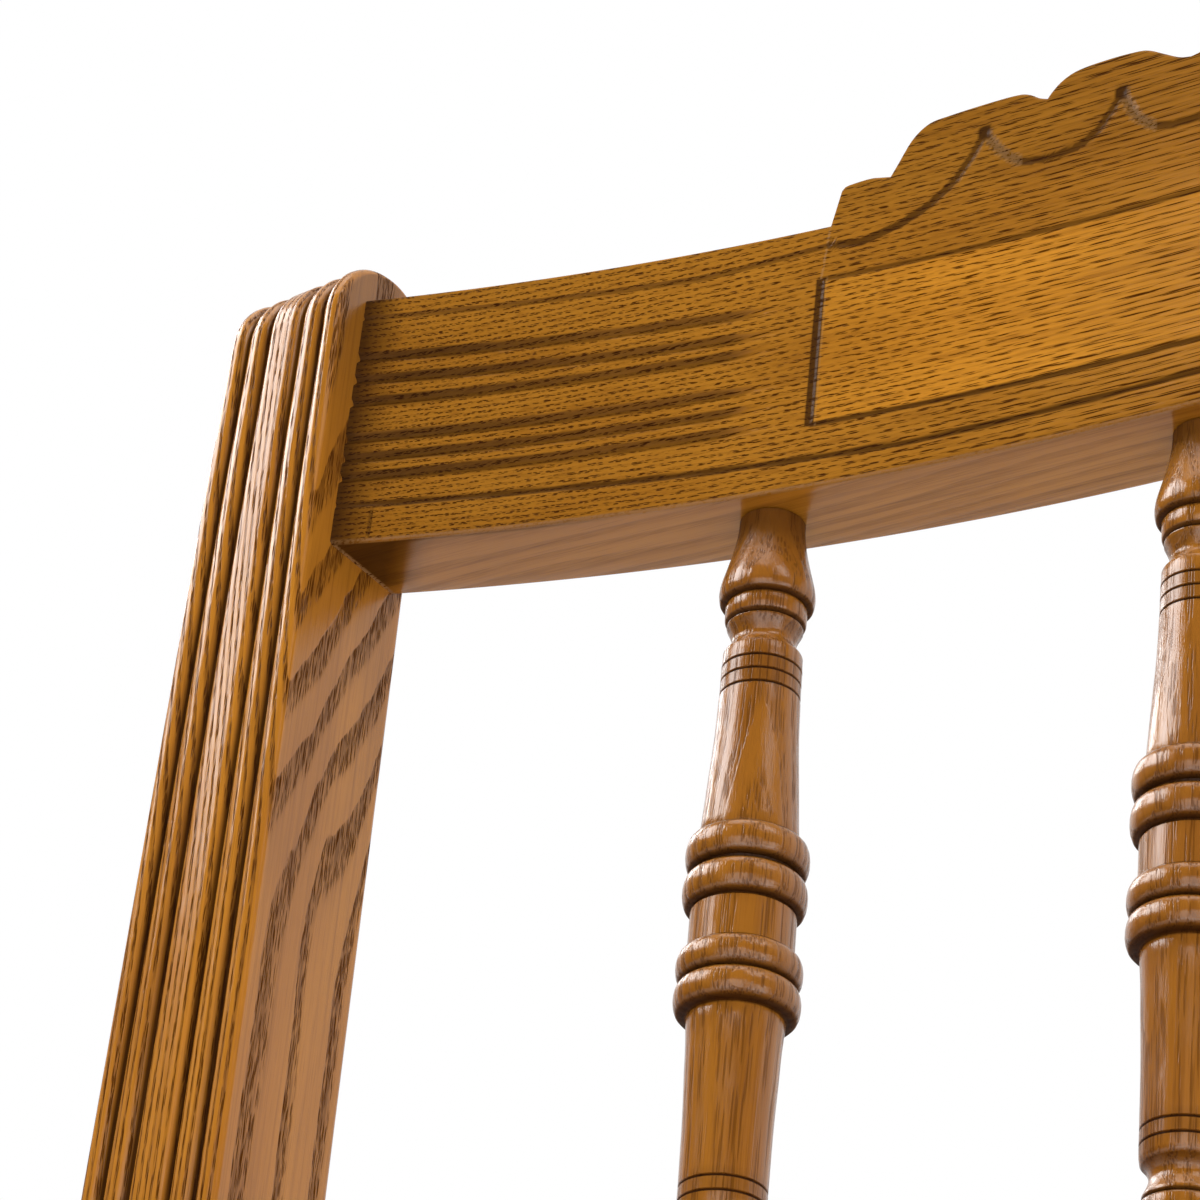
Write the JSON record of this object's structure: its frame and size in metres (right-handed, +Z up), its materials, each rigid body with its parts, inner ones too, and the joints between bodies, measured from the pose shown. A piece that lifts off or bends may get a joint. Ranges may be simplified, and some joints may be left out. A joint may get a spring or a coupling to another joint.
{
  "type": "pressed back chair",
  "caption": "Oak side chair with a raked back: scalloped crest rail between reeded posts, turned spindles, dished plank seat, turned front legs and stretchers.",
  "frame": {"origin": "on the floor, under the middle of the chair's overall box", "axes": "+Z up, -Y towards the front of the chair, +X to the right as seen from the front"},
  "size_m": [0.456, 0.494, 0.9091],
  "materials": {
    "oak_frame": "golden stain under gloss lacquer",
    "oak_turned": "golden stain under gloss lacquer",
    "oak_seat": "golden stain under gloss lacquer",
    "beech_dowel": "bare wood",
    "screw_steel": "plain steel",
    "glide_nylon": "moulded matte"
  },
  "bodies": {
    "root": {"back_post_left": "oak_frame", "back_post_right": "oak_frame", "crest_rail": "oak_frame", "lower_rail": "oak_frame", "spindle_1": "oak_turned", "spindle_2": "oak_turned", "spindle_3": "oak_turned", "seat": "oak_seat", "front_leg_left": "oak_turned", "front_leg_right": "oak_turned", "front_stretcher_upper": "oak_turned", "front_stretcher_lower": "oak_turned", "side_stretcher_left_upper": "oak_turned", "side_stretcher_left_lower": "oak_turned", "side_stretcher_right_upper": "oak_turned", "side_stretcher_right_lower": "oak_turned", "rear_stretcher": "oak_turned", "crest_dowel_left_bottom": "beech_dowel", "crest_dowel_left_top": "beech_dowel", "crest_dowel_right_bottom": "beech_dowel", "crest_dowel_right_top": "beech_dowel", "lower_dowel_left_bottom": "beech_dowel", "lower_dowel_left_top": "beech_dowel", "lower_dowel_right_bottom": "beech_dowel", "lower_dowel_right_top": "beech_dowel", "screw_plug_left_front": "oak_frame", "screw_plug_left_rear": "oak_frame", "screw_plug_right_front": "oak_frame", "screw_plug_right_rear": "oak_frame", "seat_screw_left_front": "screw_steel", "seat_screw_left_rear": "screw_steel", "seat_screw_right_front": "screw_steel", "seat_screw_right_rear": "screw_steel", "glide_front_left": "glide_nylon", "glide_front_right": "glide_nylon", "glide_rear_left": "glide_nylon", "glide_rear_right": "glide_nylon"}
  },
  "joints": []
}
